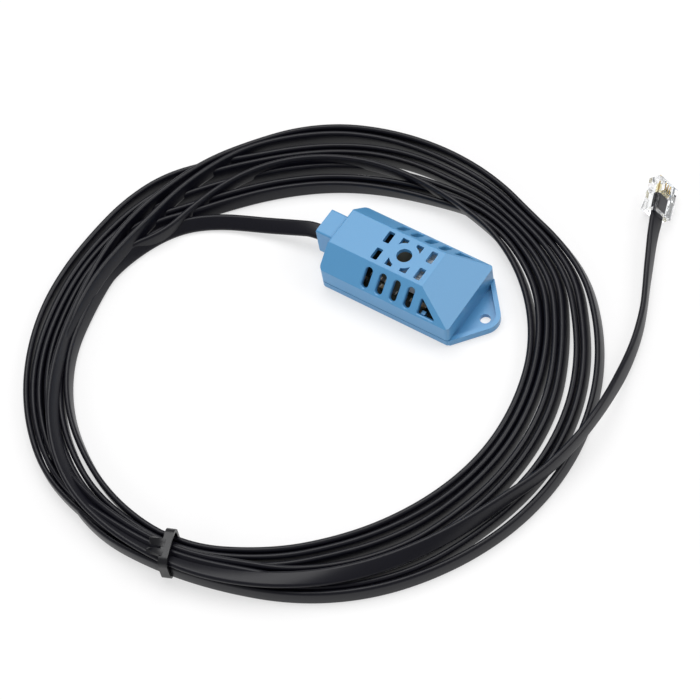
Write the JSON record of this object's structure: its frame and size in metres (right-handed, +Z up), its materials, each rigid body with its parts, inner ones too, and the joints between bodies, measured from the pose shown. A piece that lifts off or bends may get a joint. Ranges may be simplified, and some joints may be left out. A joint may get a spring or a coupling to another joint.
{
  "type": "humidity sensor",
  "caption": "Vented gabled housing with a mounting ear, holding a small board with a humidity element, on a flat cord tied in a coil and ending in a clear modular plug.",
  "frame": {"origin": "on the underside, below the middle of the housing's box, cord left out", "axes": "+X from the cord's neck to the mounting ear, +Y across the housing, +Z up"},
  "size_m": [0.1644, 0.1813, 0.015],
  "materials": {
    "housing_blue": "fine matt moulded",
    "board_green": "solder mask",
    "element_white": "moulded",
    "tinned_metal": "tinned",
    "epoxy_black": "moulded epoxy",
    "resistor_black": "glazed",
    "capacitor_tan": "ceramic",
    "tantalum_yellow": "moulded epoxy",
    "bead_green": "dipped epoxy",
    "cord_black": "satin",
    "tie_black": "satin",
    "inner_tie_white": "nylon",
    "solder": "solder",
    "insulation_black": "insulation",
    "insulation_red": "insulation",
    "insulation_green": "insulation",
    "insulation_yellow": "insulation",
    "plug_clear": "clear moulded",
    "contact_gold": "gold plated"
  },
  "bodies": {
    "root": {"top_cover": "housing_blue", "base_shell": "housing_blue", "circuit_board": "board_green", "humidity_element": "element_white", "humidity_element_pins": "tinned_metal", "thermistor": "bead_green", "thermistor_leads": "tinned_metal", "controller_chip": "epoxy_black", "memory_chip": "epoxy_black", "chip_leads": "tinned_metal", "chip_resistors": "resistor_black", "chip_capacitors": "capacitor_tan", "end_caps": "tinned_metal", "tantalum_capacitor": "tantalum_yellow", "jacket_in_neck": "cord_black", "inner_tie": "inner_tie_white", "solder_joints": "solder", "core_black": "insulation_black", "core_red": "insulation_red", "core_green": "insulation_green", "core_yellow": "insulation_yellow", "cord_sensor_lead": "cord_black", "cord_coil": "cord_black", "cord_plug_lead": "cord_black", "coil_tie": "tie_black", "plug_body": "plug_clear", "plug_contacts": "contact_gold", "jacket_in_plug": "cord_black", "plug_cores": "insulation_yellow"}
  },
  "joints": []
}
